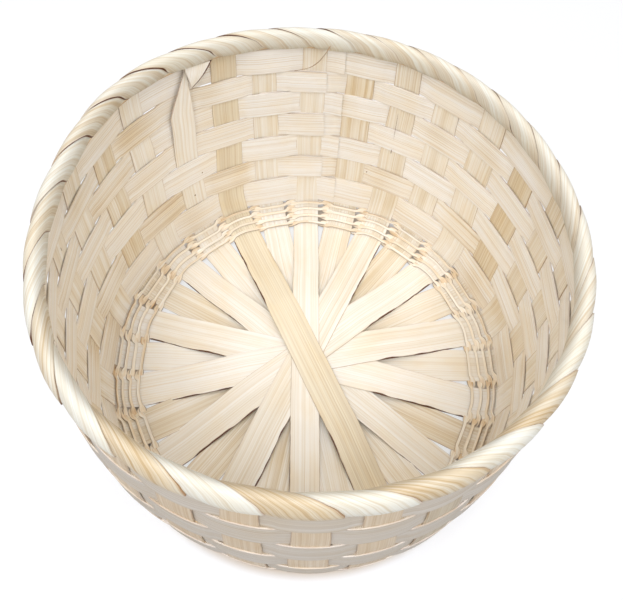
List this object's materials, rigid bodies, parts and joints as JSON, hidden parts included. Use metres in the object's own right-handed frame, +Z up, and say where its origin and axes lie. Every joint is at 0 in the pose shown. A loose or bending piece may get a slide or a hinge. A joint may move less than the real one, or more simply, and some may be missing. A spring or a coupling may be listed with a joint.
{
  "type": "woven splint basket",
  "caption": "Round open basket plaited from flat splints, with a floor of crossed strips, a twined turn, a plain-woven wall and a rim of two hoops under a spiral wrap.",
  "frame": {"origin": "centre of the basket's footprint, on the surface that it stands on", "axes": "+Z up out of the mouth, +Y towards the stake that the rows are counted from, and +X to its right seen from above"},
  "size_m": [0.1742, 0.1742, 0.1188],
  "materials": {
    "base_splint": "satin natural bamboo splint",
    "golden_splint": "satin yellower bamboo splint",
    "twine_strand": "satin split bamboo strand",
    "wall_weaver": "satin natural bamboo splint",
    "rim_hoop": "plain split bamboo",
    "rim_wrap": "satin natural bamboo splint"
  },
  "bodies": {
    "root": {"base_strip_01": "base_splint", "base_strip_02": "base_splint", "base_strip_03": "base_splint", "base_strip_04": "base_splint", "base_strip_05": "base_splint", "base_strip_06": "base_splint", "base_strip_07": "base_splint", "base_strip_08": "base_splint", "base_strip_09": "base_splint", "base_strip_10": "base_splint", "base_strip_11": "base_splint", "base_strip_12": "base_splint", "base_strip_13": "golden_splint", "base_strip_14": "base_splint", "twine_row_1_strand_a": "twine_strand", "twine_row_1_strand_b": "twine_strand", "twine_row_2_strand_a": "twine_strand", "twine_row_2_strand_b": "twine_strand", "twine_row_3_strand_a": "twine_strand", "twine_row_3_strand_b": "twine_strand", "twine_row_4_strand_a": "twine_strand", "twine_row_4_strand_b": "twine_strand", "weaver_row_1": "wall_weaver", "weaver_row_2": "wall_weaver", "weaver_row_3": "wall_weaver", "weaver_row_4": "wall_weaver", "weaver_row_5": "wall_weaver", "weaver_row_6": "wall_weaver", "weaver_row_7": "wall_weaver", "rim_inner_hoop": "rim_hoop", "rim_outer_hoop": "rim_hoop", "rim_filler_cane": "rim_hoop", "rim_wrap": "rim_wrap"}
  },
  "joints": []
}
